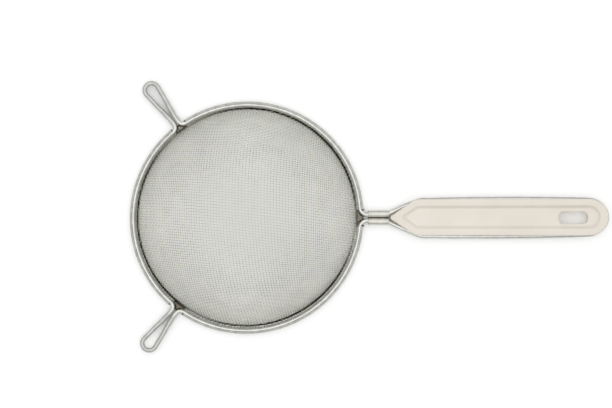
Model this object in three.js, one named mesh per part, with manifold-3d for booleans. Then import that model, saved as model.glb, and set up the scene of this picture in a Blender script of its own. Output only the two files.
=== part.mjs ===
// Mesh strainer: a woven wire bowl held in a rolled rim, on a bent wire frame with a plastic grip.
// Millimetres, +Z up. It lies rim down with the bowl upwards, and the grip points along +X.
// Places are measured from the centre of the rim, and the last lines centre the whole on its box.

import * as THREE from "three";
import { mergeVertices } from "three/addons/utils/BufferGeometryUtils.js";
import Module from "manifold-3d";

const wasm = await Module();
wasm.setup();

// Rim and bowl
const rimDiameter = 140;
const wireDiameter = 2.8;
const stripThickness = 0.45;
const stripLegWidth = 4.6;
const stripCornerRadius = 1.2;
const stripLipAngle = THREE.MathUtils.degToRad(65);
const clothThickness = 0.64;
const bowlDepth = 54;
const bowlFullness = 2.25; // power of the profile: 2 would be a parabola
const bowlCrevice = 1.6; // from the bowl's foot to the hoop wire
const hemBendRadius = 1.2;
const clothOpenings = 12; // across the bowl, for the cloth's fine mesh
const clothRib = 2.2;
const clothBorder = 2;
const fitGap = 0.2;

// Ears and the bends where the wire leaves the hoop
const earAngle = THREE.MathUtils.degToRad(127.2);
const earLength = 31;
const earHeadRadius = 4.2;
const earRootGap = 0.3;
const bendRadius = 3.3;

// Weld lumps between the bends
const weldReach = 1;
const weldHeight = 2.1;
const weldEdge = 0.4;

// Neck sleeve
const neckGap = 2.7;
const ferruleLength = 11.9;
const ferruleWall = 0.5;
const ferruleSeam = 0.4;
const ferruleWebThickness = 1;

// Plastic grip
const noseGap = 1.4;
const noseRadius = 1.2;
const noseAngle = THREE.MathUtils.degToRad(35.5);
const shoulderRadius = 7;
const gripLength = 130.6;
const gripWidth = 22;
const gripThickness = 7.4;
const gripEndDepth = 11.95;
const gripShift = 0.6; // off the middle of the wire loop
const gripTopRound = 1.2;
const gripBackRound = 0.7;
const recessMargin = 3.5;
const recessBevel = 1.7;
const recessDepth = 1.6;
const recessEndRamp = 3.6;
const slotLength = 17.4;
const slotWidth = 7.2;
const slotCornerRadius = 3;
const slotMargin = 12.9;
const pegDiameter = 4;
const pegFromNose = 36;
const pegFromSlot = 14;
const socketRoof = 1.2;

// Wire loop round the grip
const loopSideReach = 1.6; // past the side of the grip
const loopEndReach = 0.9;
const loopAngle = THREE.MathUtils.degToRad(24.5);
const loopNeckRadius = 4;
const loopShoulderRadius = 27;
const loopBendInSleeve = 1;

// Facets
const ringSegments = 60;
const bowlRings = 9;
const wireSides = 8;
const bendSteps = 5;
const earHeadSteps = 9;
const loopEndSteps = 14;
const roundSteps = 4;
const cutOvershoot = 1;

// Levels and radii that follow from the sizes above
const rimRadius = rimDiameter / 2;
const wireRadius = wireDiameter / 2;
const curlRadius = wireRadius + fitGap;
const hoopRadius = rimRadius - stripThickness - curlRadius;
const hemBottom = stripThickness + fitGap;
const hemTop = hemBottom + clothThickness;
const wireLevel = hemTop + fitGap + wireRadius;
const hemOuterRadius = rimRadius - stripCornerRadius;
const mouthRadius = hoopRadius - wireRadius - bowlCrevice;

// Places along the handle
const barrelRadius = curlRadius + ferruleWall;
const neckSpacing = 2 * barrelRadius + ferruleSeam;
const ferruleStart = rimRadius + neckGap;
const ferruleEnd = ferruleStart + ferruleLength;
const wireEnds = (ferruleStart + ferruleEnd) / 2;
const noseX = ferruleEnd + noseGap;
const gripEnd = noseX + gripLength;
const loopEnd = gripEnd + loopEndReach;
const slotEnd = gripEnd - slotMargin;
const slotStart = slotEnd - slotLength;

// Points of an arc, from one angle to another
function arcPoints(x, y, radiusX, radiusY, from, to, steps) {
  const points = [];
  for (let step = 0; step <= steps; step += 1) {
    const angle = from + ((to - from) * step) / steps;
    points.push(new THREE.Vector2(x + radiusX * Math.cos(angle), y + radiusY * Math.sin(angle)));
  }
  return points;
}

// A closed mesh as a solid that can be joined and cut
function solidOf(geometry) {
  const bare = geometry.clone();
  bare.deleteAttribute("normal");
  bare.deleteAttribute("uv");
  const merged = mergeVertices(bare);
  const vertProperties = new Float32Array(merged.attributes.position.array);
  const triVerts = new Uint32Array(merged.index.array);
  return new wasm.Manifold(new wasm.Mesh({ numProp: 3, vertProperties, triVerts }));
}

function geometryOf(solid) {
  const mesh = solid.getMesh();
  const geometry = new THREE.BufferGeometry();
  geometry.setAttribute("position", new THREE.BufferAttribute(mesh.vertProperties, 3));
  geometry.setIndex(new THREE.BufferAttribute(mesh.triVerts, 1));
  geometry.computeVertexNormals();
  return geometry;
}

// A closed solid through a stack of outlines with equal numbers of points, lowest first
function loft(levels) {
  const count = levels[0].outline.length;
  const positions = [];
  for (const { outline, z } of levels) {
    for (const point of outline) {
      positions.push(point.x, point.y, z);
    }
  }
  const index = [];
  for (let level = 0; level + 1 < levels.length; level += 1) {
    for (let side = 0; side < count; side += 1) {
      const a = level * count + side;
      const b = level * count + ((side + 1) % count);
      index.push(a, b, b + count, a, b + count, a + count);
    }
  }
  const top = (levels.length - 1) * count;
  for (const [a, b, c] of THREE.ShapeUtils.triangulateShape(levels[0].outline, [])) {
    index.push(c, b, a);
  }
  for (const [a, b, c] of THREE.ShapeUtils.triangulateShape(levels.at(-1).outline, [])) {
    index.push(top + a, top + b, top + c);
  }
  const geometry = new THREE.BufferGeometry();
  geometry.setAttribute("position", new THREE.Float32BufferAttribute(positions, 3));
  geometry.setIndex(index);
  geometry.computeVertexNormals();
  return geometry;
}

// A ring turned about +Z from a closed profile of radius and height
function turned(profile) {
  return new THREE.LatheGeometry(profile, ringSegments).rotateX(Math.PI / 2);
}

// A wire's route in the wire plane: a list of stations, each with its point and its direction
class WireRoute extends THREE.Curve {
  constructor(stations) {
    super();
    this.stations = stations;
  }

  stationAt(u) {
    return this.stations[Math.round(u * (this.stations.length - 1))];
  }

  getPointAt(u, target = new THREE.Vector3()) {
    const { point } = this.stationAt(u);
    return target.set(point.x, point.y, wireLevel);
  }

  getTangentAt(u, target = new THREE.Vector3()) {
    const { heading } = this.stationAt(u);
    return target.set(Math.cos(heading), Math.sin(heading), 0);
  }
}

function straightStation(x, y, heading) {
  return { point: new THREE.Vector2(x, y), heading };
}

// Stations round an arc, turned about the rim's centre by the angle of the ear or neck it belongs to
function bendStations(x, y, radius, from, to, steps, turn = 0) {
  const quarter = to > from ? Math.PI / 2 : -Math.PI / 2;
  const rimCentre = new THREE.Vector2();
  return arcPoints(x, y, radius, radius, from, to, steps).map((point, step) => ({
    point: point.rotateAround(rimCentre, turn),
    heading: from + ((to - from) * step) / steps + quarter + turn,
  }));
}

function wireAlong(stations, radius) {
  const section = arcPoints(0, 0, radius, radius, 0, 2 * Math.PI, wireSides).slice(0, -1);
  return new THREE.ExtrudeGeometry(new THREE.Shape(section), {
    steps: stations.length - 1,
    extrudePath: new WireRoute(stations),
    bevelEnabled: false,
  });
}

// The bend that takes the wire off the hoop, for a run that leaves at the given distance from its axis
function hoopExit(runOffset) {
  const y = runOffset + bendRadius;
  const x = Math.sqrt((hoopRadius + bendRadius) ** 2 - y ** 2);
  return { x, y, angle: Math.atan2(y, x) };
}

const earExit = hoopExit(wireRadius + earRootGap / 2);
const neckExit = hoopExit(neckSpacing / 2);

// The ear's head, and the splay of the two legs that touch both the bends and the head
const earHeadX = rimRadius + earLength - wireRadius - earHeadRadius;
const earSpan = Math.hypot(earHeadX - earExit.x, earExit.y);
const earSplay =
  Math.asin((earHeadRadius + bendRadius) / earSpan) - Math.atan2(earExit.y, earHeadX - earExit.x);

function bendOffHoop(exit, splay, turn) {
  const { x, y, angle } = exit;
  return bendStations(x, -y, bendRadius, Math.PI - angle, Math.PI / 2 - splay, bendSteps, turn);
}

function bendOntoHoop(exit, splay, turn) {
  const { x, y, angle } = exit;
  return bendStations(x, y, bendRadius, 1.5 * Math.PI + splay, Math.PI + angle, bendSteps, turn);
}

function earStations(turn) {
  const headAngle = Math.PI / 2 + earSplay;
  return [
    ...bendOffHoop(earExit, earSplay, turn),
    ...bendStations(earHeadX, 0, earHeadRadius, -headAngle, headAngle, earHeadSteps, turn),
    ...bendOntoHoop(earExit, earSplay, turn),
  ];
}

function hoopStations(from, to) {
  const steps = Math.round(((to - from) * ringSegments) / (2 * Math.PI));
  return bendStations(0, 0, hoopRadius, from, to, steps).slice(1, -1);
}

// One wire: a tail in the sleeve, round the hoop with its two ears, and back to the sleeve
function rimWireStations() {
  const tailEnd = wireEnds - fitGap;
  const fullTurn = 2 * Math.PI;
  const upperEar = earAngle;
  const lowerEar = fullTurn - earAngle;
  return [
    straightStation(tailEnd, neckSpacing / 2, Math.PI),
    ...bendOntoHoop(neckExit, 0, 0),
    ...hoopStations(neckExit.angle, upperEar - earExit.angle),
    ...earStations(upperEar),
    ...hoopStations(upperEar + earExit.angle, lowerEar - earExit.angle),
    ...earStations(lowerEar),
    ...hoopStations(lowerEar + earExit.angle, fullTurn - neckExit.angle),
    ...bendOffHoop(neckExit, 0, 0),
    straightStation(tailEnd, -neckSpacing / 2, 0),
  ];
}

// The rolled strip: a flat leg on the table, a rounded corner, a wall, and a lip over the wire
function stripProfile() {
  const legEnd = rimRadius - stripLegWidth;
  const cornerX = rimRadius - stripCornerRadius;
  const corner = stripCornerRadius;
  const innerCorner = corner - stripThickness;
  const outerCurl = curlRadius + stripThickness;
  const down = -Math.PI / 2;
  const outside = [
    new THREE.Vector2(legEnd, 0),
    ...arcPoints(cornerX, corner, corner, corner, down, 0, roundSteps),
    ...arcPoints(hoopRadius, wireLevel, outerCurl, outerCurl, 0, stripLipAngle, roundSteps),
  ];
  const inside = [
    ...arcPoints(hoopRadius, wireLevel, curlRadius, curlRadius, stripLipAngle, 0, roundSteps),
    ...arcPoints(cornerX, corner, innerCorner, innerCorner, 0, down, roundSteps),
    new THREE.Vector2(legEnd, stripThickness),
  ];
  return [...outside, ...inside, outside[0].clone()];
}

// The strip is open above its leg where the wire leaves the hoop
function stripNotch(exit, turn) {
  const halfWidth = exit.y * (hoopRadius / (hoopRadius + bendRadius));
  const from = hoopRadius;
  const to = rimRadius + cutOvershoot;
  const floor = wireLevel - wireRadius - fitGap;
  const top = wireLevel + barrelRadius + cutOvershoot;
  const box = new THREE.BoxGeometry(to - from, 2 * halfWidth, top - floor);
  box.translate((from + to) / 2, 0, (floor + top) / 2);
  return solidOf(box.rotateZ(turn));
}

function rimBand() {
  let band = solidOf(turned(stripProfile()));
  for (const turn of [earAngle, -earAngle]) {
    band = band.subtract(stripNotch(earExit, turn));
  }
  return geometryOf(band.subtract(stripNotch(neckExit, 0)));
}

// The bowl's height above its foot and its slope, at a radius given as a share of the mouth's
function bowlHeight(share) {
  return bowlDepth * (1 - share ** bowlFullness);
}

function bowlSlope(share) {
  return Math.atan((bowlFullness * bowlDepth * share ** (bowlFullness - 1)) / mouthRadius);
}

// One face of the cloth, off its middle by half a thickness: the bowl, the bend at its foot and the hem
function clothFace(offset) {
  const footAngle = bowlSlope(1);
  const hemLevel = (hemBottom + hemTop) / 2;
  const bendX = mouthRadius + hemBendRadius * Math.sin(footAngle);
  const bendZ = hemLevel + hemBendRadius;
  const footZ = bendZ - hemBendRadius * Math.cos(footAngle);
  const face = [];
  for (let ring = 0; ring <= bowlRings; ring += 1) {
    const share = ring / bowlRings;
    const slope = bowlSlope(share);
    const radius = mouthRadius * share + offset * Math.sin(slope);
    const height = footZ + bowlHeight(share) + offset * Math.cos(slope);
    face.push(new THREE.Vector2(radius, height));
  }
  const bend = hemBendRadius - offset;
  const foot = arcPoints(bendX, bendZ, bend, bend, -Math.PI / 2 - footAngle, -Math.PI / 2, roundSteps);
  return [...face, ...foot.slice(1), new THREE.Vector2(hemOuterRadius, hemLevel + offset)];
}

// Upright bars in a square grid, cut to the round of the bowl inside its border
function openingBars() {
  const reach = mouthRadius - clothBorder;
  const pitch = (2 * reach) / clothOpenings;
  const half = (pitch - clothRib) / 2;
  const squares = [];
  for (let column = 0; column < clothOpenings; column += 1) {
    for (let row = 0; row < clothOpenings; row += 1) {
      const x = (column + 0.5) * pitch - reach;
      const y = (row + 0.5) * pitch - reach;
      if (Math.hypot(x, y) < reach + clothRib / 2) {
        const corners = [[-half, -half], [half, -half], [half, half], [-half, half]];
        squares.push(new THREE.Shape(corners.map(([dx, dy]) => new THREE.Vector2(x + dx, y + dy))));
      }
    }
  }
  const height = hemTop + hemBendRadius + bowlDepth + cutOvershoot;
  const bars = new THREE.ExtrudeGeometry(squares, { depth: height, bevelEnabled: false });
  const round = new THREE.CylinderGeometry(reach, reach, height, ringSegments);
  round.rotateX(Math.PI / 2).translate(0, 0, height / 2);
  return solidOf(bars).intersect(solidOf(round));
}

// The cloth as one shell, with a coarse grid of openings for its fine mesh
function meshBowl() {
  const inner = clothFace(-clothThickness / 2);
  const outer = clothFace(clothThickness / 2);
  const shell = solidOf(turned([...inner, ...outer.reverse()]));
  return geometryOf(shell.subtract(openingBars()));
}

// A lump of weld metal between the two bends, with hollow sides that follow the wire
function weldOutline(exit, inset) {
  const radius = bendRadius + wireRadius + fitGap + inset;
  const inner = hoopRadius - wireRadius + inset;
  const outer = hoopRadius + weldReach - inset;
  const side = [];
  for (let step = 0; step <= roundSteps; step += 1) {
    const x = inner + ((outer - inner) * step) / roundSteps;
    side.push(new THREE.Vector2(x, -exit.y + Math.sqrt(radius ** 2 - (exit.x - x) ** 2)));
  }
  const mirrored = side.map((point) => new THREE.Vector2(point.x, -point.y)).reverse();
  return [...side, ...mirrored];
}

function weldLump(exit) {
  const bottom = hemTop + fitGap;
  const top = bottom + weldHeight;
  return loft([
    { outline: weldOutline(exit, 0), z: bottom },
    { outline: weldOutline(exit, 0), z: top - weldEdge },
    { outline: weldOutline(exit, weldEdge), z: top },
  ]);
}

// The sleeve: two barrels side by side, joined by a web, over the butted ends of the two wires
function neckFerrule() {
  const centre = neckSpacing / 2;
  const joint = Math.asin(ferruleWebThickness / 2 / barrelRadius);
  const outline = new THREE.Shape();
  outline.absarc(centre, 0, barrelRadius, joint - Math.PI, Math.PI - joint, false);
  outline.absarc(-centre, 0, barrelRadius, joint, 2 * Math.PI - joint, false);
  outline.closePath();
  for (const x of [centre, -centre]) {
    const bore = new THREE.Path();
    bore.absarc(x, 0, curlRadius, 0, 2 * Math.PI, true);
    outline.holes.push(bore);
  }
  const sleeve = new THREE.ExtrudeGeometry(outline, {
    depth: ferruleLength,
    curveSegments: wireSides,
    bevelEnabled: false,
  });
  const alongHandle = new THREE.Matrix4().makeBasis(
    new THREE.Vector3(0, 1, 0),
    new THREE.Vector3(0, 0, 1),
    new THREE.Vector3(1, 0, 0),
  );
  return sleeve.applyMatrix4(alongHandle).translate(ferruleStart, 0, wireLevel);
}

// Upper half of the grip's wire loop, from the sleeve to the far end, as points and headings
function loopHalf() {
  const start = ferruleEnd - loopBendInSleeve;
  const side = gripWidth / 2 + loopSideReach - wireRadius;
  const neckY = neckSpacing / 2 + loopNeckRadius;
  const neckTop = neckY - loopNeckRadius * Math.cos(loopAngle);
  const shoulderY = side - loopShoulderRadius;
  const shoulderFoot = shoulderY + loopShoulderRadius * Math.cos(loopAngle);
  const rise = (shoulderFoot - neckTop) / Math.tan(loopAngle);
  const shoulderX = start + (loopNeckRadius + loopShoulderRadius) * Math.sin(loopAngle) + rise;
  const endDepth = gripEndDepth + loopEndReach - wireRadius;
  const endX = loopEnd - wireRadius - endDepth;
  const down = -Math.PI / 2;
  const up = Math.PI / 2;
  const endArc = arcPoints(endX, 0, endDepth, side, up, 0, loopEndSteps / 2);
  const endStations = endArc.map((point, step) => {
    const angle = up * (1 - step / (loopEndSteps / 2));
    return { point, heading: Math.atan2(-side * Math.cos(angle), endDepth * Math.sin(angle)) };
  });
  return [
    straightStation(wireEnds + fitGap, neckSpacing / 2, 0),
    ...bendStations(start, neckY, loopNeckRadius, down, down + loopAngle, bendSteps),
    ...bendStations(shoulderX, shoulderY, loopShoulderRadius, up + loopAngle, up, bendSteps),
    ...endStations,
  ];
}

function loopStations() {
  const half = loopHalf();
  const back = half.slice(0, -1).reverse().map(({ point, heading }) => ({
    point: new THREE.Vector2(point.x, -point.y),
    heading: Math.PI - heading,
  }));
  return [...half, ...back];
}

// The grip's outline in plan, drawn in by the given inset all round and by more at its far end
function gripOutline(inset, endInset = inset) {
  const apex = noseX - noseRadius * (1 / Math.sin(noseAngle) - 1) + inset / Math.sin(noseAngle);
  const side = gripWidth / 2 - inset;
  const shoulder = shoulderRadius - inset;
  const noseCentre = apex + noseRadius / Math.sin(noseAngle);
  const shoulderX = apex + (shoulder + (side - shoulder) * Math.cos(noseAngle)) / Math.sin(noseAngle);
  const up = Math.PI / 2;
  const upper = [
    ...arcPoints(noseCentre, 0, noseRadius, noseRadius, Math.PI, up + noseAngle, roundSteps),
    ...arcPoints(shoulderX, side - shoulder, shoulder, shoulder, up + noseAngle, up, roundSteps),
    ...arcPoints(gripEnd - gripEndDepth, 0, gripEndDepth - endInset, side, up, 0, loopEndSteps / 2),
  ];
  const lower = upper.map((point) => new THREE.Vector2(point.x, -point.y));
  const outline = [...lower, ...upper.slice(1, -1).reverse()];
  return outline.map((point) => point.add(new THREE.Vector2(0, gripShift)));
}

// Levels that round the edge of the grip off, from its full outline to the rounding's inset
function roundedEdge(radius, edgeZ, direction) {
  const levels = [];
  for (let step = 0; step <= roundSteps / 2; step += 1) {
    const angle = (Math.PI / 2) * (step / (roundSteps / 2));
    const inset = radius * (1 - Math.cos(angle));
    levels.push({ outline: gripOutline(inset), z: edgeZ - direction * radius * (1 - Math.sin(angle)) });
  }
  return levels;
}

function slotCutter() {
  const round = Math.min(slotCornerRadius, slotWidth / 2 - fitGap);
  const left = slotStart + round;
  const right = slotEnd - round;
  const reachY = slotWidth / 2 - round;
  const quarter = Math.PI / 2;
  const outline = [[right, reachY], [left, reachY], [left, -reachY], [right, -reachY]].flatMap(
    ([x, y], corner) => {
      const from = corner * quarter;
      return arcPoints(x, y, round, round, from, from + quarter, roundSteps);
    },
  );
  return solidOf(loft([
    { outline, z: -cutOvershoot },
    { outline, z: gripThickness + cutOvershoot },
  ]));
}

function recessCutter() {
  const floorInset = recessMargin + recessBevel;
  return solidOf(loft([
    { outline: gripOutline(floorInset, floorInset + recessEndRamp), z: gripThickness - recessDepth },
    { outline: gripOutline(recessMargin), z: gripThickness },
    { outline: gripOutline(recessMargin), z: gripThickness + cutOvershoot },
  ]));
}

// Two pegs on the back shell, and the sockets they locate in
function pegs(radius, from, to) {
  const places = [noseX + pegFromNose, slotStart - pegFromSlot];
  return places.map((x) => {
    const peg = new THREE.CylinderGeometry(radius, radius, to - from, 2 * wireSides);
    return solidOf(peg.rotateX(Math.PI / 2).translate(x, gripShift, (from + to) / 2));
  });
}

const groove = solidOf(wireAlong(loopStations(), wireRadius + fitGap));
const frontSplit = wireLevel + fitGap / 2;
const backSplit = wireLevel - fitGap / 2;
const socketTop = gripThickness - recessDepth - socketRoof;

function gripFrontShell() {
  const body = loft([
    { outline: gripOutline(0), z: frontSplit },
    ...roundedEdge(gripTopRound, gripThickness, 1),
  ]);
  let shell = solidOf(body).subtract(recessCutter()).subtract(slotCutter()).subtract(groove);
  for (const socket of pegs(pegDiameter / 2 + fitGap, frontSplit - cutOvershoot, socketTop)) {
    shell = shell.subtract(socket);
  }
  return geometryOf(shell);
}

function gripBackShell() {
  const body = loft([
    ...roundedEdge(gripBackRound, 0, -1).reverse(),
    { outline: gripOutline(0), z: backSplit },
  ]);
  let shell = solidOf(body).subtract(slotCutter()).subtract(groove);
  for (const peg of pegs(pegDiameter / 2, gripBackRound, socketTop - fitGap)) {
    shell = shell.add(peg);
  }
  return geometryOf(shell);
}

// Finishes
function steel(color, roughness) {
  return new THREE.MeshStandardMaterial({ color, roughness, metalness: 1 });
}

const wireSteel = steel(0xcfcfca, 0.25);
const stripSteel = steel(0xc4c4be, 0.3);
const clothSteel = steel(0xb9b8b0, 0.45);
const weldMetal = steel(0x8d8476, 0.55);
const creamPlastic = new THREE.MeshStandardMaterial({ color: 0xe9e0d2, roughness: 0.3, metalness: 0 });

// Assembly
const strainer = new THREE.Group();

function addPart(name, geometry, material) {
  const part = new THREE.Mesh(geometry, material);
  part.name = name;
  strainer.add(part);
  return part;
}

addPart("mesh_bowl", meshBowl(), clothSteel);
addPart("rim_band", rimBand(), stripSteel);
addPart("rim_wire", wireAlong(rimWireStations(), wireRadius), wireSteel);
addPart("ear_weld_upper", weldLump(earExit), weldMetal).rotation.z = earAngle;
addPart("ear_weld_lower", weldLump(earExit), weldMetal).rotation.z = -earAngle;
addPart("neck_weld", weldLump(neckExit), weldMetal);
addPart("neck_ferrule", neckFerrule(), stripSteel);
addPart("grip_wire", wireAlong(loopStations(), wireRadius), wireSteel);
addPart("grip_front_shell", gripFrontShell(), creamPlastic);
addPart("grip_back_shell", gripBackShell(), creamPlastic);

strainer.position.x = (rimRadius - loopEnd) / 2;

export default strainer;
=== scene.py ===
"""Looks of the mesh strainer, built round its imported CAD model.

Lengths are in millimetres from the centre of the rim, and become metres where a mesh is made.
"""

import itertools
import math
import random

import bpy
import numpy as np
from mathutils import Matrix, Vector, noise


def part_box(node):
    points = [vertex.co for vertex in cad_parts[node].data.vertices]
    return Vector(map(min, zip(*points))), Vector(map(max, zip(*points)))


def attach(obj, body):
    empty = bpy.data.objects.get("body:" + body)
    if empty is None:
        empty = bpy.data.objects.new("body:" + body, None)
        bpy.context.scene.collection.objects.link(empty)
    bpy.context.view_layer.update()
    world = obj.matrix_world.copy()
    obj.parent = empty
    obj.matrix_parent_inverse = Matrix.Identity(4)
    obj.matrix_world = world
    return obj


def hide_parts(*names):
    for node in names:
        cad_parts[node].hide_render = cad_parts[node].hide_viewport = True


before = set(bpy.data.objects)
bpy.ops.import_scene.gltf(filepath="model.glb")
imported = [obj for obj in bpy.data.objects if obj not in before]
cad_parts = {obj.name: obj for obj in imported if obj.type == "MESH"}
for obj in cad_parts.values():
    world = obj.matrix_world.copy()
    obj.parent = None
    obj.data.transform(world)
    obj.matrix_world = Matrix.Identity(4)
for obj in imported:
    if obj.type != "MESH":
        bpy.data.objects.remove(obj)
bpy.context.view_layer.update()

MM = 0.001
TURN = 2 * math.pi
QUARTER = math.pi / 2
UP = np.array([0.0, 0.0, 1.0])

# Tolerances
HAIR = 0.01
SMALL = 1e-6
TINY = 1e-9

band_low, band_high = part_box("rim_band")
RIM_CENTRE = Vector(((band_low.x + band_high.x) / 2, (band_low.y + band_high.y) / 2, 0))


def cad_box(node):
    """Corners of a CAD node in millimetres from the centre of the rim."""
    low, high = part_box(node)
    return (low - RIM_CENTRE) / MM, (high - RIM_CENTRE) / MM


# Sizes taken from the CAD model
RIM_RADIUS = cad_box("rim_band")[1].y
wire_low, wire_high = cad_box("rim_wire")
WIRE_RADIUS = (wire_high.z - wire_low.z) / 2
WIRE_LEVEL = (wire_high.z + wire_low.z) / 2
ferrule_low, ferrule_high = cad_box("neck_ferrule")
FERRULE_MIDDLE = (ferrule_low.x + ferrule_high.x) / 2
BARREL_RADIUS = (ferrule_high.z - ferrule_low.z) / 2
BARREL_OFFSET = ferrule_high.y - BARREL_RADIUS
front_low, front_high = cad_box("grip_front_shell")
back_high = cad_box("grip_back_shell")[1]
GRIP_WIDTH = front_high.y - front_low.y
GRIP_SHIFT = (front_high.y + front_low.y) / 2
GRIP_TOP = front_high.z
loop_high = cad_box("grip_wire")[1]
LOOP_SIDE = loop_high.y - WIRE_RADIUS
LOOP_TIP = loop_high.x - WIRE_RADIUS
bowl_low, bowl_high = cad_box("mesh_bowl")

# Rim
STRIP = 0.45
STRIP_LEG = 4.9
STRIP_CORNER = 1.2
LIP_ANGLE = math.radians(65)
FIT_GAP = 0.2
CURL_RADIUS = WIRE_RADIUS + FIT_GAP
HOOP_RADIUS = RIM_RADIUS - STRIP - CURL_RADIUS
RIM_STATIONS = 480
RIM_OVAL = 0.34
RIM_OVAL_ANGLE = math.radians(27)
RIM_OVAL_POWER = 4
RIM_OVAL_FADE = 10

# Ears, and bends where the wire leaves the hoop
UPPER_EAR = math.radians(126.7)
LOWER_EAR = math.radians(-127.8)
EAR_LENGTH = 31
EAR_HEAD_RADIUS = 4.2
EAR_ROOT_GAP = 0.3
EAR_PINCH = 0.6
EAR_PINCH_REACH = (0, 2, 14)
EAR_WEAR = 0.17
# Ears painted darker than the hoop, as painted shade for the dimmer light that they take
EAR_SHADE = 0.18
EAR_FADE = 5
EAR_BEND = 3.3
NECK_BEND = 4.6
TAIL_OFFSET = 1.75

# Cut ends of the strip, with painted shade in the gaps inside them
NECK_NOTCH = 4.65
NECK_SPRING = 0.9
NECK_SPRING_SPAN = 2.4
NOTCH_SHADE_SPAN = 0.6
NOTCH_SHADE_EDGE = 0.25
NOTCH_SHADE_START = (HOOP_RADIUS - 1.5, HOOP_RADIUS - 1)
NOTCH_SHADE_RISE = (STRIP / 2, STRIP * 0.9)

# Welds, with the insets and shares of the height that round their tops
EAR_WELD_REACH = 1.0
NECK_WELD_REACH = 1.7
WELD_SKIRT = 0.75
WELD_FLARE = 1.1
WELD_HEIGHT = 2.1
WELD_LEAST_STEP = 0.05
WELD_ROUNDING = [(0, 0), (0.03, 0.3), (0.1, 0.6), (0.25, 0.85), (0.5, 1.0), (0.8, 1.05)]
WELD_PLAIN_LOOPS = 2
WELD_LUMP = 0.35
WELD_LUMPS_PER_MM = 0.9
# Shares of the height between which the welds turn darker towards their lower edges
WELD_DARK_EDGE = (0.9, 0.5)

# Sleeve of the neck, whose barrels are joined between two angles below their middles
BARREL_SEAM = 0.1
SEAM_REACH = 0.35
JOIN_LOW_ANGLE = math.radians(50)
JOIN_HIGH_ANGLE = math.radians(25)
SLEEVE_LIP = 0.7
SLEEVE_EDGE = 0.25
SLEEVE_EDGE_MIDDLE = 0.08

# Cloth
CLOTH_WIRE_RADIUS = 0.16
COLUMN_PITCH = 1.814
ROW_PITCH = 1.5875
PITCH_SCATTER = 0.03
PITCHES_DRAWN = 160
NET_REACH = 70
NET_MARGIN = 3
LEAST_WIRE_POINTS = 4
BOWL_FULLNESS = 2.25
BOWL_CREVICE = 1.4
HEM_BEND = 1.2
HEM_LEVEL = bowl_low.z + 2 * CLOTH_WIRE_RADIUS
MOUTH_RADIUS = HOOP_RADIUS - WIRE_RADIUS - BOWL_CREVICE
CLOTH_TRIM = 0.5
CLOTH_EDGE = RIM_RADIUS - STRIP_CORNER - CLOTH_TRIM
CLOTH_DRIFT = 0.3
CLOTH_DENT = 0.25
CLOTH_DENT_ANGLE = math.radians(-62)
CLOTH_DENT_SPAN = math.radians(45)

# Slopes of the cloth's middle wires, seen from above at the crown, and their change by the millimetre
ROW_SLOPE = -0.107
ROW_SLOPE_CHANGE = -0.00159
COLUMN_SLOPE = -0.0456
COLUMN_SLOPE_CHANGE = 0.00276

# Rounds of the searches for the cloth's foot, for the end of a step and for a crossing
FOOT_ROUNDS = 20
STEP_ROUNDS = 8
CROSSING_ROUNDS = 7

# Trough beside the foot of the cloth, painted dark as shade and dirt, and its lighter stretches: angle,
# share of the painted darkness lost and half-width
TROUGH_EDGE = (HOOP_RADIUS - 1.72, HOOP_RADIUS - 1.9)
TROUGH_FADES = (
    (math.radians(-8), 0.7, math.radians(16)),
    (UPPER_EAR, 0.85, math.radians(18)),
    (math.radians(-116), 0.55, math.radians(9)),
)
# Depths below the cloth's foot at which its painted shade and dirt begin and are full
CLOTH_SHADE_DEPTHS = (0.13, 0.25)

# Grip
NOSE_RADIUS = 1.2
NOSE_ANGLE = math.radians(35.5)
NOSE_SKEW = 14
SHOULDER_RADIUS = 7.5
SHOULDER_LEAST = 0.3
GRIP_END_DEPTH = 11.95
GRIP_END_INSET = 0.3
GRIP_BULGE = 0.5
GRIP_LOWER_BULGE = 0.2
GRIP_BOW = 0.32
GRIP_BOW_CENTRE = 158
GRIP_BOW_REACH = 31.6
GRIP_BOW_EDGE = (6, 10)
GRIP_FLAT = 3
FRONT_ROUNDING = 0.8
BACK_ROUNDING = 0.7
RECESS_MARGIN = 3.9
RECESS_BORDER = 1
RECESS_BEVEL = 1.7
RECESS_BEVEL_SHARES = (0.3, 0.45, 0.6, 0.75)
RECESS_DEPTH = 2.0
RECESS_RAMP = 2.6
RECESS_RAMP_POWER = 4
RECESS_END_SHIFT = 1.1
SLOT_LENGTH = 17.4
SLOT_WIDTH = 7.2
SLOT_CORNER = 3
SLOT_MARGIN = 12.5
SLOT_DRAFT = 1.0
SLOT_ROUNDING = 0.5
CUTTER_MARGIN = 1

# Wire loop round the grip
LOOP_ANGLE = math.radians(24.5)
LOOP_NECK_RADIUS = 4
LOOP_SHOULDER_RADIUS = 12
LOOP_BEND_IN_SLEEVE = 1.0
LOOP_BOW = 0.087
LOOP_BOW_CENTRE = 149
LOOP_BOW_REACH = 60
LOOP_BOW_START = (8, 23)
LOOP_TILT = 0.006
# Painted shade on the loop: on its upper side from the shoulder, and growing towards its far end, for its
# shaded flanks beside the plastic
LOOP_SHADE = 0.24
LOOP_SHOULDER_SHADE = (5, 12)
LOOP_SHOULDER_SHARE = 0.75
LOOP_END_SHADE = (35, 105)

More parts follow.
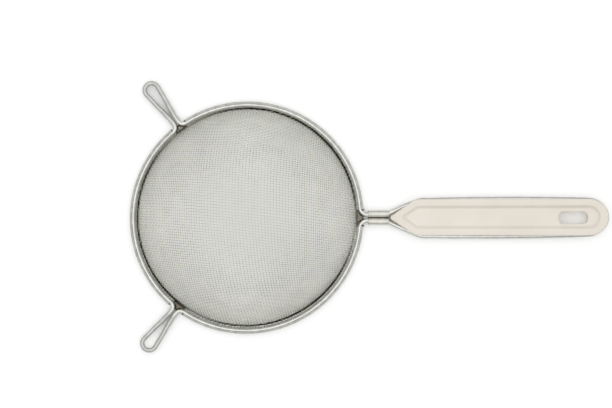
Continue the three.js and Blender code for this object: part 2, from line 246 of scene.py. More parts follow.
# Floor, with the shares of its lift to white that are kept where the object goes round it, so that the
# floor there shows painted shade
FLOOR_LEVEL = -0.05
FLOOR_REACH = 3000
FLOOR_COLOUR = (0.93, 0.93, 0.93, 1)
FLOOR_LIFT = 0.235
GLOSSY_LIFT = 0.3
BOWL_LIFT = 0.77
BOWL_EDGE = (MOUTH_RADIUS - 0.6, MOUTH_RADIUS + 0.4)
HOOP_EDGE = (HOOP_RADIUS - 1, HOOP_RADIUS + 1)
CROWN_LIFT = 0.3
SLOT_LIFT = (0.06, 0.3)
SLOT_LIFT_REACH = 5
SLOT_EDGE = (SLOT_WIDTH - 1.5, SLOT_WIDTH + 0.5)
NECK_EDGE = (2, 3)
NECK_FLOOR_START = ferrule_low.x + 3
UPPER_EAR_LIFT = (0.0, 0.42)
LOWER_EAR_LIFT = (0.0, 1.15)
EAR_ROOT = RIM_RADIUS + 3
EAR_ROOT_EDGE = (2.5, 4)
EAR_FLOOR_START = EAR_ROOT + 5
EAR_EDGE = (EAR_HEAD_RADIUS - 1.2, EAR_HEAD_RADIUS + 0.2)

# Light, with the lamp in metres and watts
HORIZON_LIGHT = 0.33
ZENITH_LIGHT = 0.83
KEY_PLACE = (0.0, 0.25, 1.35)
KEY_SIZE = 3.2
KEY_POWER = 9.4

# Camera, above the middle of the picture
CAMERA_X = 35.58
CAMERA_Y = 8.22
CAMERA_HEIGHT = 720
PICTURE_WIDTH = 367.2
SENSOR_WIDTH = 36

# Colours and ranges of the materials
WHITE = (1, 1, 1, 1)
# Near-black for painted shade, and for dirt in the rim's trough, mixed in by each mesh's share
SHADE_AND_DIRT_COLOUR = (0.008, 0.007, 0.004, 1)
# Painted sheen of the cloth, which grows from a height up to the crown
CROWN_SHEEN = (0.80, 0.80, 0.725, 1)
SHEEN_FOOT = 38
NOISE_RANGE = (0.3, 0.7)
TONE_RANGE = (0.35, 0.65)

chance = random.Random(11)


def foot_figures():
    """Depth of the bowl, and centre and foot of the bend at its hem, from the height of the CAD bowl."""
    crown = bowl_high.z - 2 * CLOTH_WIRE_RADIUS
    depth = crown - HEM_LEVEL
    for _ in range(FOOT_ROUNDS):
        angle = math.atan(BOWL_FULLNESS * depth / MOUTH_RADIUS)
        foot = HEM_LEVEL + HEM_BEND * (1 - math.cos(angle))
        depth = crown - foot
    return depth, MOUTH_RADIUS + HEM_BEND * math.sin(angle), foot


BOWL_DEPTH, HEM_BEND_X, FOOT_LEVEL = foot_figures()


# Shader nodes


def shader_tree(name):
    material = bpy.data.materials.new(name)
    material.use_nodes = True
    nodes = material.node_tree.nodes
    return material, nodes, material.node_tree.links, nodes["Principled BSDF"]


def feed(links, socket, value):
    """Links an input to another node's output, or sets it to a plain value."""
    if isinstance(value, bpy.types.NodeSocket):
        links.new(value, socket)
    else:
        socket.default_value = value


def combined(nodes, links, operation, one, other):
    both = nodes.new("ShaderNodeMath")
    both.operation = operation
    feed(links, both.inputs[0], one)
    feed(links, both.inputs[1], other)
    return both.outputs["Value"]


def map_range(nodes, links, source, start, end, low=0.0, high=1.0):
    """Source carried over from one range to another, and held at its ends."""
    ranged = nodes.new("ShaderNodeMapRange")
    for name, value in (("From Min", start), ("From Max", end), ("To Min", low), ("To Max", high)):
        feed(links, ranged.inputs[name], value)
    links.new(source, ranged.inputs["Value"])
    return ranged.outputs["Result"]


def noise_texture(nodes, links, scale, detail=3.0):
    place = nodes.new("ShaderNodeTexCoord")
    texture = nodes.new("ShaderNodeTexNoise")
    texture.inputs["Scale"].default_value = scale
    texture.inputs["Detail"].default_value = detail
    links.new(place.outputs["Object"], texture.inputs["Vector"])
    return texture.outputs["Fac"]


def two_tone(nodes, links, source, dark, light):
    tones = nodes.new("ShaderNodeValToRGB")
    for element, position, colour in zip(tones.color_ramp.elements, TONE_RANGE, (dark, light)):
        element.position = position
        element.color = (*colour, 1)
    links.new(source, tones.inputs["Fac"])
    return tones.outputs["Color"]


def mesh_share(nodes, name):
    """The share of that name that the mesh stores for each of its points."""
    share = nodes.new("ShaderNodeAttribute")
    share.attribute_name = name
    return share.outputs["Fac"]


def give_way(nodes, links, share, colour, other):
    """A colour that gives way to another one by a share."""
    mix = nodes.new("ShaderNodeMix")
    mix.data_type = "RGBA"
    mix.inputs["B"].default_value = other
    links.new(share, mix.inputs["Factor"])
    links.new(colour, mix.inputs["A"])
    return mix.outputs["Result"]


def with_shade_and_dirt(nodes, links, unshaded):
    """A colour that gives way to painted shade, and in the rim's trough also dirt, where the mesh says so.
    """
    return give_way(nodes, links, mesh_share(nodes, "shade_and_dirt"), unshaded, SHADE_AND_DIRT_COLOUR)


def add_bump(nodes, links, shader, source, depth):
    bump = nodes.new("ShaderNodeBump")
    bump.inputs["Strength"].default_value = 1.0
    bump.inputs["Distance"].default_value = depth * MM
    links.new(source, bump.inputs["Height"])
    links.new(bump.outputs["Normal"], shader.inputs["Normal"])


# Materials


def steel(name, dark, light, roughness, grain, depth):
    """Steel that gives way to painted shade, and in the rim's trough also dirt, where the mesh says so."""
    material, nodes, links, shader = shader_tree(name)
    shader.inputs["Metallic"].default_value = 1.0
    tone = noise_texture(nodes, links, scale=260)
    unshaded = two_tone(nodes, links, tone, dark, light)
    links.new(with_shade_and_dirt(nodes, links, unshaded), shader.inputs["Base Color"])
    wear = noise_texture(nodes, links, scale=grain)
    links.new(map_range(nodes, links, wear, *NOISE_RANGE, *roughness), shader.inputs["Roughness"])
    add_bump(nodes, links, shader, wear, depth)
    return material


def worn_steel(name, **finish):
    """Steel that is also duller where the mesh says so."""
    material = steel(name, **finish)
    nodes = material.node_tree.nodes
    links = material.node_tree.links
    roughness = nodes["Principled BSDF"].inputs["Roughness"]
    even_roughness = roughness.links[0].from_socket
    links.new(combined(nodes, links, "ADD", even_roughness, mesh_share(nodes, "wear")), roughness)
    return material


def cloth_steel():
    """Wire cloth with a painted sheen that grows towards its crown, and painted shade and dirt at its foot.
    """
    material, nodes, links, shader = shader_tree("cloth_steel")
    shader.inputs["Metallic"].default_value = 1.0
    shader.inputs["Roughness"].default_value = 0.28
    tone = noise_texture(nodes, links, scale=90)
    dull = two_tone(nodes, links, tone, dark=(0.615, 0.615, 0.53), light=(0.735, 0.735, 0.635))
    place = nodes.new("ShaderNodeTexCoord")
    parts = nodes.new("ShaderNodeSeparateXYZ")
    links.new(place.outputs["Object"], parts.inputs["Vector"])
    height = map_range(nodes, links, parts.outputs["Z"], SHEEN_FOOT * MM, bowl_high.z * MM)
    unshaded = give_way(nodes, links, height, dull, CROWN_SHEEN)
    links.new(with_shade_and_dirt(nodes, links, unshaded), shader.inputs["Base Color"])
    return material


def weld_metal():
    material, nodes, links, shader = shader_tree("weld_metal")
    shader.inputs["Metallic"].default_value = 0.75
    lumps = noise_texture(nodes, links, scale=900, detail=5.0)
    colour = two_tone(nodes, links, lumps, dark=(0.11, 0.093, 0.064), light=(0.45, 0.41, 0.335))
    links.new(with_shade_and_dirt(nodes, links, colour), shader.inputs["Base Color"])
    roughness = map_range(nodes, links, lumps, *NOISE_RANGE, low=0.45, high=0.65)
    links.new(roughness, shader.inputs["Roughness"])
    add_bump(nodes, links, shader, lumps, depth=0.3)
    return material


def cream_plastic():
    material, nodes, links, shader = shader_tree("cream_plastic")
    cloudy = noise_texture(nodes, links, scale=55, detail=2.0)
    colour = two_tone(nodes, links, cloudy, dark=(0.875, 0.808, 0.715), light=(0.905, 0.846, 0.76))
    links.new(colour, shader.inputs["Base Color"])
    satin = noise_texture(nodes, links, scale=1400, detail=2.0)
    roughness = map_range(nodes, links, satin, *NOISE_RANGE, low=0.26, high=0.36)
    links.new(roughness, shader.inputs["Roughness"])
    add_bump(nodes, links, shader, satin, depth=0.006)
    return material


WIRE_STEEL = worn_steel(
    "wire_steel",
    dark=(0.68, 0.68, 0.645),
    light=(0.81, 0.81, 0.775),
    roughness=(0.2, 0.3),
    grain=2200,
    depth=0.004,
)
STRIP_STEEL = steel(
    "strip_steel",
    dark=(0.59, 0.59, 0.555),
    light=(0.73, 0.73, 0.69),
    roughness=(0.28, 0.4),
    grain=1500,
    depth=0.008,
)
SLEEVE_STEEL = steel(
    "sleeve_steel",
    dark=(0.67, 0.66, 0.60),
    light=(0.79, 0.78, 0.715),
    roughness=(0.28, 0.4),
    grain=1500,
    depth=0.008,
)
CLOTH_STEEL = cloth_steel()
WELD_METAL = weld_metal()
CREAM_PLASTIC = cream_plastic()


# Points and routes


def unit(vectors):
    return vectors / np.linalg.norm(vectors, axis=-1, keepdims=True)


def ramp(values, zero_at, one_at):
    return np.clip((values - zero_at) / (one_at - zero_at), 0, 1)


def radii(points):
    return np.hypot(points[:, 0], points[:, 1])


def angle_from(points, angle):
    return np.angle(np.exp(1j * (np.arctan2(points[:, 1], points[:, 0]) - angle)))


def arc(x, y, radius_x, radius_y, start, end, steps):
    angles = np.linspace(start, end, steps + 1)
    return np.stack([x + radius_x * np.cos(angles), y + radius_y * np.sin(angles)], axis=1)


def turned(points, angle):
    cosine = math.cos(angle)
    sine = math.sin(angle)
    return points @ np.array([[cosine, sine], [-sine, cosine]])


def even(points, step):
    """A route through the points with a station every step."""
    lengths = np.linalg.norm(np.diff(points, axis=0), axis=1)
    points = points[np.r_[True, lengths > SMALL]]
    lengths = np.linalg.norm(np.diff(points, axis=0), axis=1)
    along = np.r_[0, np.cumsum(lengths)]
    stations = np.linspace(0, along[-1], max(2, round(along[-1] / step)) + 1)
    return np.stack([np.interp(stations, along, points[:, axis]) for axis in range(2)], axis=1)


def at_level(points, z):
    return np.column_stack([points, np.full(len(points), z)])


def tube_loops(points, ups, radius, sides):
    tangents = unit(np.gradient(points, axis=0))
    across = unit(np.cross(ups, tangents))
    above = np.cross(tangents, across)
    angles = np.arange(sides) * TURN / sides
    ring = np.cos(angles)[:, None] * across[:, None] + np.sin(angles)[:, None] * above[:, None]
    return points[:, None] + radius * ring


def wire_loops(route, radius, sides=16, step=0.7):
    return tube_loops(at_level(even(route, step), WIRE_LEVEL), UP, radius, sides)


def cloth_dent(points):
    return CLOTH_DENT * np.exp(-((angle_from(points, CLOTH_DENT_ANGLE) / CLOTH_DENT_SPAN) ** 2))


def out_of_round(vertices, with_cloth=0.0):
    """Points moved as on the real rim, a little oval, and as the cloth's foot, a little off its centre."""
    moved = np.array(vertices, float)
    radius = radii(moved) + TINY
    aim = moved[:, :2] / radius[:, None]
    on_rim = np.minimum(1, radius / HOOP_RADIUS) ** RIM_OVAL_POWER
    on_rim *= ramp(radius, RIM_RADIUS + RIM_OVAL_FADE, RIM_RADIUS)
    outwards = RIM_OVAL * np.cos(2 * angle_from(moved, RIM_OVAL_ANGLE)) - with_cloth * cloth_dent(moved)
    moved[:, :2] += (outwards * on_rim)[:, None] * aim
    moved[:, 1] += with_cloth * CLOTH_DRIFT * on_rim
    return moved


def trough_shade_and_dirt(points, unshaded_at, shaded_at):
    """Share of painted shade and dirt at each point: all of it below a height in the trough beside the foot
    of the cloth, where shade falls.
    """
    shade_and_dirt = ramp(radii(points), *TROUGH_EDGE) * ramp(points[:, 2], unshaded_at, shaded_at)
    for angle, fade, span in TROUGH_FADES:
        shade_and_dirt *= 1 - fade * np.exp(-((angle_from(points, angle) / span) ** 2))
    return shade_and_dirt


# Meshes


def skin(loops, endless=False):
    """Vertices and faces over a row of closed loops that have equal numbers of points."""
    count, sides = loops.shape[:2]
    rows = count if endless else count - 1
    faces = []
    for row in range(rows):
        here = row * sides
        there = (row + 1) % count * sides
        for side in range(sides):
            after = (side + 1) % sides
            faces.append((here + side, here + after, there + after, there + side))
    if not endless:
        faces.append(tuple(range(sides - 1, -1, -1)))
        faces.append(tuple(range((count - 1) * sides, count * sides)))
    return loops.reshape(-1, 3), faces


def set_share(mesh, name, shares):
    """Stores a share for each of a mesh's points, for its material."""
    mesh.attributes.new(name, "FLOAT", "POINT").data.foreach_set("value", shares)


def make_object(name, vertices, faces, shade_and_dirt=None):
    mesh = bpy.data.meshes.new(name)
    points = np.asarray(vertices) * MM + np.array(RIM_CENTRE)
    mesh.from_pydata(points.tolist(), [], faces)
    mesh.validate()
    if shade_and_dirt is not None:
        set_share(mesh, "shade_and_dirt", shade_and_dirt)
    made = bpy.data.objects.new(name, mesh)
    bpy.context.scene.collection.objects.link(made)
    return made


def make_skin(name, loops):
    return make_object(name, *skin(np.array(loops)))


def vertex_places(piece):
    return np.array([(vertex.co - RIM_CENTRE) / MM for vertex in piece.data.vertices])


def dress(piece, material, node, sharp=40):
    """Smooths a piece, gives it its material, hangs it on the root body and hides the CAD node that it
    stands for.
    """
    piece.data.materials.clear()
    piece.data.materials.append(material)
    piece.data.shade_smooth()
    piece.data.set_sharp_from_angle(angle=math.radians(sharp))
    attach(piece, "root")
    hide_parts(node)


def cut(piece, cutters):
    """Takes the cutters out of a piece."""
    for cutter in cutters:
        modifier = piece.modifiers.new("cut", "BOOLEAN")
        modifier.operation = "DIFFERENCE"
        modifier.solver = "EXACT"
        modifier.object = cutter
    graph = bpy.context.evaluated_depsgraph_get()
    result = bpy.data.meshes.new_from_object(piece.evaluated_get(graph))
    piece.modifiers.clear()
    piece.data = result
    for cutter in cutters:
        bpy.data.objects.remove(cutter)


# Routes of the rim wire and of the wire loop round the grip


def hoop_exit(run_offset, radius):
    """Centre of the bend that takes the wire off the hoop, its angle on the hoop, and its radius."""
    y = run_offset + radius
    x = math.sqrt((HOOP_RADIUS + radius) ** 2 - y**2)
    return x, y, math.atan2(y, x), radius


EAR_EXIT = hoop_exit(WIRE_RADIUS + EAR_ROOT_GAP / 2, EAR_BEND)
NECK_EXIT = hoop_exit(TAIL_OFFSET, NECK_BEND)
EAR_HEAD_X = RIM_RADIUS + EAR_LENGTH - WIRE_RADIUS - EAR_HEAD_RADIUS
EAR_REACH = EAR_HEAD_X - EAR_EXIT[0]
EAR_SPAN = math.hypot(EAR_REACH, EAR_EXIT[1])
EAR_SPLAY = math.asin((EAR_HEAD_RADIUS + EAR_BEND) / EAR_SPAN) - math.atan2(EAR_EXIT[1], EAR_REACH)


def bend_off(place, splay):
    x, y, angle, radius = place
    return arc(x, -y, radius, radius, math.pi - angle, QUARTER - splay, steps=24)


def bend_onto(place, splay):
    x, y, angle, radius = place
    return arc(x, y, radius, radius, 3 * QUARTER + splay, math.pi + angle, steps=24)


def ear_route():
    head = QUARTER + EAR_SPLAY
    tip = arc(EAR_HEAD_X, 0, EAR_HEAD_RADIUS, EAR_HEAD_RADIUS, -head, head, steps=48)
    bends = [bend_off(EAR_EXIT, EAR_SPLAY), tip, bend_onto(EAR_EXIT, EAR_SPLAY)]
    route = even(np.concatenate(bends), step=0.5)
    ease = 1 - EAR_PINCH * np.interp(route[:, 0] - EAR_EXIT[0], EAR_PINCH_REACH, [0, 1, 0])
    route[:, 1] = np.sign(route[:, 1]) * (WIRE_RADIUS + (np.abs(route[:, 1]) - WIRE_RADIUS) * ease)
    return route


def hoop_route(start, end):
    return arc(0, 0, HOOP_RADIUS, HOOP_RADIUS, start, end, steps=160)


def rim_wire_route():
    tail = FERRULE_MIDDLE - FIT_GAP
    upper = UPPER_EAR
    lower = TURN + LOWER_EAR
    return np.concatenate(
        [
            [[tail, TAIL_OFFSET]],
            bend_onto(NECK_EXIT, 0),
            hoop_route(NECK_EXIT[2], upper - EAR_EXIT[2]),
            turned(ear_route(), upper),
            hoop_route(upper + EAR_EXIT[2], lower - EAR_EXIT[2]),
            turned(ear_route(), lower),
            hoop_route(lower + EAR_EXIT[2], TURN - NECK_EXIT[2]),
            bend_off(NECK_EXIT, 0),
            [[tail, -TAIL_OFFSET]],
        ]
    )


def grip_loop_half():
    """The half of the loop on the left of the handle, from the sleeve to its tip."""
    start = ferrule_high.x - LOOP_BEND_IN_SLEEVE
    tail = FERRULE_MIDDLE + FIT_GAP
    neck = LOOP_NECK_RADIUS
    neck_y = BARREL_OFFSET + neck
    neck_top = neck_y - neck * math.cos(LOOP_ANGLE)
    shoulder = LOOP_SHOULDER_RADIUS
    shoulder_y = LOOP_SIDE - shoulder
    shoulder_foot = shoulder_y + shoulder * math.cos(LOOP_ANGLE)
    rise = (shoulder_foot - neck_top) / math.tan(LOOP_ANGLE)
    shoulder_x = start + (neck + shoulder) * math.sin(LOOP_ANGLE) + rise
    end_x = front_high.x - GRIP_END_DEPTH
    bends = [
        [[tail, BARREL_OFFSET]],
        arc(start, neck_y, neck, neck, -QUARTER, LOOP_ANGLE - QUARTER, steps=16),
        arc(shoulder_x, shoulder_y, shoulder, shoulder, QUARTER + LOOP_ANGLE, QUARTER, steps=24),
        arc(end_x, 0, LOOP_TIP - end_x, LOOP_SIDE, QUARTER, 0, steps=32),
    ]
    return even(np.concatenate(bends), step=1.0)


def grip_loop_route():
    """The whole loop, with its sides bowed and its far end tilted to the left."""
    half = grip_loop_half()
    from_centre = half[:, 0] - LOOP_BOW_CENTRE
    grown = ramp(half[:, 0] - front_low.x, *LOOP_BOW_START)
    half[:, 1] *= 1 - grown * LOOP_BOW * (from_centre / LOOP_BOW_REACH) ** 2
    tilt = np.column_stack([np.zeros(len(half)), grown * LOOP_TILT * from_centre])
    upper = half + tilt
    lower = half * [1, -1] + tilt
    return np.concatenate([upper, lower[-2::-1]])


# Woven cloth


def cloth_height(x, y):
    """Height of the cloth's middle, and its slope along x and y."""
    radius = math.hypot(x, y)
    if radius < TINY:
        return FOOT_LEVEL + BOWL_DEPTH, 0.0, 0.0
    if radius < MOUTH_RADIUS:
        share = radius / MOUTH_RADIUS
        height = FOOT_LEVEL + BOWL_DEPTH * (1 - share**BOWL_FULLNESS)
        fall = -BOWL_DEPTH * BOWL_FULLNESS * share ** (BOWL_FULLNESS - 1) / MOUTH_RADIUS
    elif radius < HEM_BEND_X:
        inward = HEM_BEND_X - radius
        drop = math.sqrt(HEM_BEND**2 - inward**2)
        height = HEM_LEVEL + HEM_BEND - drop
        fall = -inward / drop
    else:
        height = HEM_LEVEL
        fall = 0.0
    return height, fall * x / radius, fall * y / radius


def on_cloth(x, y):
    return (x, y, cloth_height(x, y)[0])


def next_along(point, direction, length):
    """The point of the cloth at a straight distance from another, in a direction seen from above."""
    step = length
    scale = 1 / math.hypot(*direction)
    for _ in range(STEP_ROUNDS):
        x = point[0] + step * scale * direction[0]
        y = point[1] + step * scale * direction[1]
        rise = cloth_height(x, y)[0] - point[2]
        step *= length / math.hypot(step, rise)
    return on_cloth(x, y)


def crossing(near_row, near_column, corner, row_length, column_length):
    """The point of the cloth at set distances from its neighbours, opposite the corner between them."""
    x = near_row[0] + near_column[0] - corner[0]
    y = near_row[1] + near_column[1] - corner[1]
    for _ in range(CROSSING_ROUNDS):
        z, along_x, along_y = cloth_height(x, y)
        miss = []
        slopes = []
        for point, length in ((near_row, row_length), (near_column, column_length)):
            dx, dy, dz = x - point[0], y - point[1], z - point[2]
            miss.append(dx * dx + dy * dy + dz * dz - length * length)
            slopes.append((2 * (dx + dz * along_x), 2 * (dy + dz * along_y)))
        (a, b), (c, d) = slopes
        size = a * d - b * c
        if abs(size) < SMALL:
            return None
        x -= (miss[0] * d - miss[1] * b) / size
        y -= (miss[1] * a - miss[0] * c) / size
    if math.hypot(x, y) > RIM_RADIUS + NET_MARGIN:
        return None
    return on_cloth(x, y)


def row_direction(point):
    return 1.0, ROW_SLOPE + ROW_SLOPE_CHANGE * point[0]


def column_direction(point):
    return COLUMN_SLOPE + COLUMN_SLOPE_CHANGE * point[1], 1.0


def pitches(pitch):
    return [pitch * (1 + chance.gauss(0, PITCH_SCATTER)) for _ in range(PITCHES_DRAWN)]


def inside_rim(point):
    return point and math.hypot(point[0], point[1]) < RIM_RADIUS


def cloth_net():
    """Crossings of the cloth's wires: a net with set lengths along both sets of wires."""
    column_steps = pitches(COLUMN_PITCH)
    row_steps = pitches(ROW_PITCH)
    net = {(0, 0): on_cloth(0, 0)}
    for sign, number in itertools.product((1, -1), range(1, NET_REACH)):
        index = sign * number
        last = net.get((index - sign, 0))
        if inside_rim(last):
            ahead = [sign * part for part in row_direction(last)]
            net[index, 0] = next_along(last, ahead, column_steps[index])
        last = net.get((0, index - sign))
        if inside_rim(last):
            ahead = [sign * part for part in column_direction(last)]
            net[0, index] = next_along(last, ahead, row_steps[index])
    for side_x, side_y in itertools.product((1, -1), repeat=2):
        for i, j in itertools.product(range(1, NET_REACH), repeat=2):
            column = side_x * i
            row = side_y * j
            below = net.get((column, row - side_y))
            beside = net.get((column - side_x, row))
            corner = net.get((column - side_x, row - side_y))
            if below and beside and corner:
                point = crossing(below, beside, corner, row_steps[row], column_steps[column])
                if point:
                    net[column, row] = point
    return net


def normals_at(points):
    slopes = np.array([cloth_height(x, y)[1:] for x, y, z in points])
    return unit(np.column_stack([-slopes, np.ones(len(points))]))


def woven_wire(nodes, first_over):
    """Rings round one wire that goes over and under at each of its crossings."""
    points = []
    lifts = []
    for number, (key, node) in enumerate(nodes):
        if number:
            last = nodes[number - 1][1]
            points.append(on_cloth((last[0] + node[0]) / 2, (last[1] + node[1]) / 2))
            lifts.append(0)
        points.append(node)
        lifts.append(CLOTH_WIRE_RADIUS if sum(key) % 2 == first_over else -CLOTH_WIRE_RADIUS)
    points = np.array(points)
    lifts = np.array(lifts)
    kept = radii(points) < CLOTH_EDGE
    points = points[kept]
    lifts = lifts[kept]
    if len(points) < LEAST_WIRE_POINTS:
        return None
    normals = normals_at(points)
    return tube_loops(points + normals * lifts[:, None], normals, CLOTH_WIRE_RADIUS, sides=6)


def woven_set(net, axis):
    """Vertices and faces of all the net's columns, for axis 0, or of all its rows, for axis 1."""
    lines = {}
    for key in sorted(net, key=lambda key: key[1 - axis]):
        lines.setdefault(key[axis], []).append((key, net[key]))
    vertices = []
    faces = []
    for line in sorted(lines):
        loops = woven_wire(lines[line], axis)
        if loops is not None:
            wire_vertices, wire_faces = skin(loops)
            base = len(vertices)
            vertices.extend(wire_vertices)
            faces.extend(tuple(corner + base for corner in face) for face in wire_faces)
    return np.array(vertices), faces


def woven_cloth():
    net = cloth_net()
    shade_levels = [FOOT_LEVEL - depth for depth in CLOTH_SHADE_DEPTHS]
    for axis, name in enumerate(["mesh_columns", "mesh_rows"]):
        vertices, faces = woven_set(net, axis)
        shade_and_dirt = trough_shade_and_dirt(vertices, *shade_levels)
        wires = make_object(name, out_of_round(vertices, 1.0), faces, shade_and_dirt)
        dress(wires, CLOTH_STEEL, "mesh_bowl", sharp=80)


# Rim band


def strip_profile():
    """Section of the rolled strip as radius and height, anticlockwise."""
    leg_end = RIM_RADIUS - STRIP_LEG
    corner_x = RIM_RADIUS - STRIP_CORNER
    inner_corner = STRIP_CORNER - STRIP
    half_strip = STRIP / 2
    lip_x = HOOP_RADIUS + (CURL_RADIUS + half_strip) * math.cos(LIP_ANGLE)
    lip_z = WIRE_LEVEL + (CURL_RADIUS + half_strip) * math.sin(LIP_ANGLE)
    outer_curl = CURL_RADIUS + STRIP
    return np.concatenate(
        [
            arc(leg_end, half_strip, half_strip, half_strip, math.pi, 3 * QUARTER, steps=4),
            arc(corner_x, STRIP_CORNER, STRIP_CORNER, STRIP_CORNER, -QUARTER, 0, steps=8),
            arc(HOOP_RADIUS, WIRE_LEVEL, outer_curl, outer_curl, 0, LIP_ANGLE, steps=12),
            arc(lip_x, lip_z, half_strip, half_strip, LIP_ANGLE, LIP_ANGLE + math.pi, steps=6)[1:-1],
            arc(HOOP_RADIUS, WIRE_LEVEL, CURL_RADIUS, CURL_RADIUS, LIP_ANGLE, 0, steps=12),
            arc(corner_x, STRIP_CORNER, inner_corner, inner_corner, 0, -QUARTER, steps=8),
            [[edge, STRIP] for edge in TROUGH_EDGE],
            arc(leg_end, half_strip, half_strip, half_strip, QUARTER, math.pi, steps=4)[:-1],
        ]
    )


# Each notch of the strip: half its width, its angle and the radius that its painted shade reaches
EAR_NOTCH = EAR_EXIT[1] * HOOP_RADIUS / (HOOP_RADIUS + EAR_BEND)
NOTCHES = [
    (EAR_NOTCH, UPPER_EAR, RIM_RADIUS - NOTCH_SHADE_EDGE),
    (EAR_NOTCH, LOWER_EAR, RIM_RADIUS - NOTCH_SHADE_EDGE),
    (NECK_NOTCH, 0, RIM_RADIUS),
]


def notch_shade(points):
    """Share of painted shade at each point: all of it in the gaps inside the cut ends of the strip, above
    its leg.
    """
    above = ramp(points[:, 2], *NOTCH_SHADE_RISE)
    shade_and_dirt = np.zeros(len(points))
    for half, angle, reach in NOTCHES:
        inside = above * ramp(radii(points), reach + NOTCH_SHADE_EDGE, reach)
        along, across = turned(points[:, :2], -angle).T
        near = ramp(np.abs(across), half + NOTCH_SHADE_SPAN, half) * ramp(along, *NOTCH_SHADE_START)
        shade_and_dirt = np.maximum(shade_and_dirt, near * inside)
    return shade_and_dirt


def band_notch(half, angle):
    """A box that opens the strip above its leg where the wire leaves the hoop."""
    outer = RIM_RADIUS + CUTTER_MARGIN
    corners = np.array([[HOOP_RADIUS, -half], [outer, -half], [outer, half], [HOOP_RADIUS, half]])
    floor = WIRE_LEVEL - WIRE_RADIUS - FIT_GAP
    return make_skin("notch", [at_level(turned(corners, angle), z) for z in (floor, GRIP_TOP)])


def sprung(points):
    """Points moved as the cut ends of the strip at the neck, which stand out from the rim."""
    radius = radii(points)
    aside = np.abs(points[:, 1])
    outwards = NECK_SPRING * ramp(aside, NECK_NOTCH + NECK_SPRING_SPAN, NECK_NOTCH) ** 2
    outwards *= (aside > NECK_NOTCH - HAIR) & (points[:, 0] > 0)
    outwards *= ramp(radius, HOOP_RADIUS, RIM_RADIUS) * ramp(points[:, 2], STRIP, WIRE_LEVEL)
    moved = points.copy()
    moved[:, :2] *= (1 + outwards / radius)[:, None]
    return moved


def rim_band():
    profile = strip_profile()
    angles = np.arange(RIM_STATIONS) * TURN / RIM_STATIONS
    ring = np.stack([np.cos(angles), np.sin(angles)], axis=1)
    across = ring[:, None] * profile[None, :, :1]
    heights = np.broadcast_to(profile[None, :, 1:], across.shape[:2] + (1,))
    loops = np.concatenate([across, heights], axis=2)[::-1]
    band = make_object("band", *skin(loops, endless=True))
    cut(band, [band_notch(half, angle) for half, angle, _ in NOTCHES])
    places = vertex_places(band)
    shade_and_dirt = np.maximum(trough_shade_and_dirt(places, STRIP / 2, STRIP), notch_shade(places))
    set_share(band.data, "shade_and_dirt", shade_and_dirt)
    leg = ramp(radii(places), HOOP_RADIUS, TROUGH_EDGE[0])
    moved = out_of_round(sprung(places), leg) * MM + np.array(RIM_CENTRE)
    band.data.vertices.foreach_set("co", moved.ravel())
    return band


# Wires


def rim_wire():
    vertices, faces = skin(wire_loops(rim_wire_route(), WIRE_RADIUS))
    ears = ramp(radii(vertices), RIM_RADIUS, RIM_RADIUS + EAR_FADE) * (vertices[:, 0] < 0)
    # The ears are painted darker, as painted shade, and made rougher
    wire = make_object("wire_of_rim", out_of_round(vertices), faces, EAR_SHADE * ears)
    set_share(wire.data, "wear", EAR_WEAR * ears)
    return wire


def grip_wire():
    vertices, faces = skin(wire_loops(grip_loop_route(), WIRE_RADIUS))
    from_nose = vertices[:, 0] - front_low.x
    # Painted shade on the loop's flanks
    shoulder = LOOP_SHOULDER_SHARE * ramp(from_nose, *LOOP_SHOULDER_SHADE) * (vertices[:, 1] > 0)
    shade_and_dirt = LOOP_SHADE * np.maximum(shoulder, ramp(from_nose, *LOOP_END_SHADE))
    return make_object("wire_of_grip", vertices, faces, shade_and_dirt)


def groove_cutter():
    """Room for the wire loop in the sleeve and in the grip."""
    return make_skin("groove", wire_loops(grip_loop_route(), CURL_RADIUS, sides=20, step=1.0))


# Welds


def weld_outline(place, reach, inset):
    x, y, _, bend = place
    radius = bend + WIRE_RADIUS + FIT_GAP / 2 + inset
    skirt = HOOP_RADIUS - WIRE_RADIUS - WELD_SKIRT + inset
    inner = max(skirt + WELD_LEAST_STEP, HOOP_RADIUS - WIRE_RADIUS)
    along = np.linspace(inner, HOOP_RADIUS + reach - inset, num=16)
    side = np.stack([along, -y + np.sqrt(radius**2 - (x - along) ** 2)], axis=1)
    corner = [[skirt, side[0, 1] - WELD_FLARE * (1 - inset)]]
    half = np.concatenate([corner, side])
    return np.concatenate([half * [1, -1], half[::-1]])


def weld_lump(name, node, place, reach, angle):
    """A lump of weld metal that fills the corner where the wire leaves the hoop."""
    bottom = WIRE_LEVEL - WIRE_RADIUS
    loops = []
    for inset, lift in WELD_ROUNDING:
        outline = turned(weld_outline(place, reach, inset), angle)
        loops.append(at_level(outline, bottom + WELD_HEIGHT * lift))
    loops = np.array(loops)
    for point in loops[WELD_PLAIN_LOOPS:].reshape(-1, 3):
        point[2] += WELD_LUMP * noise.noise(Vector(point) * WELD_LUMPS_PER_MM)
    vertices, faces = skin(loops)
    # Darker towards the lump's lower edges
    shade_and_dirt = np.repeat([ramp(lift, *WELD_DARK_EDGE) for _, lift in WELD_ROUNDING], loops.shape[1])
    lump = make_object(name, out_of_round(vertices), faces, shade_and_dirt)
    dress(lump, WELD_METAL, node, sharp=60)


# Sleeve of the neck


def along_handle(outline, x):
    return np.column_stack([np.full(len(outline), x), outline[:, 0], outline[:, 1] + WIRE_LEVEL])


def sleeve_outline(inset):
    """Section of the two barrels and the seam between them."""
    width = (ferrule_high.y - BARREL_SEAM / 2) / 2
    middle = width + BARREL_SEAM / 2
    radius_y = width - inset
    radius_z = BARREL_RADIUS - inset
    low = JOIN_LOW_ANGLE
    high = JOIN_HIGH_ANGLE
    left = arc(middle, 0, radius_y, radius_z, low - math.pi, math.pi + high, steps=32)
    right = arc(-middle, 0, radius_y, radius_z, -high, TURN - low, steps=32)
    return np.concatenate([left, right])


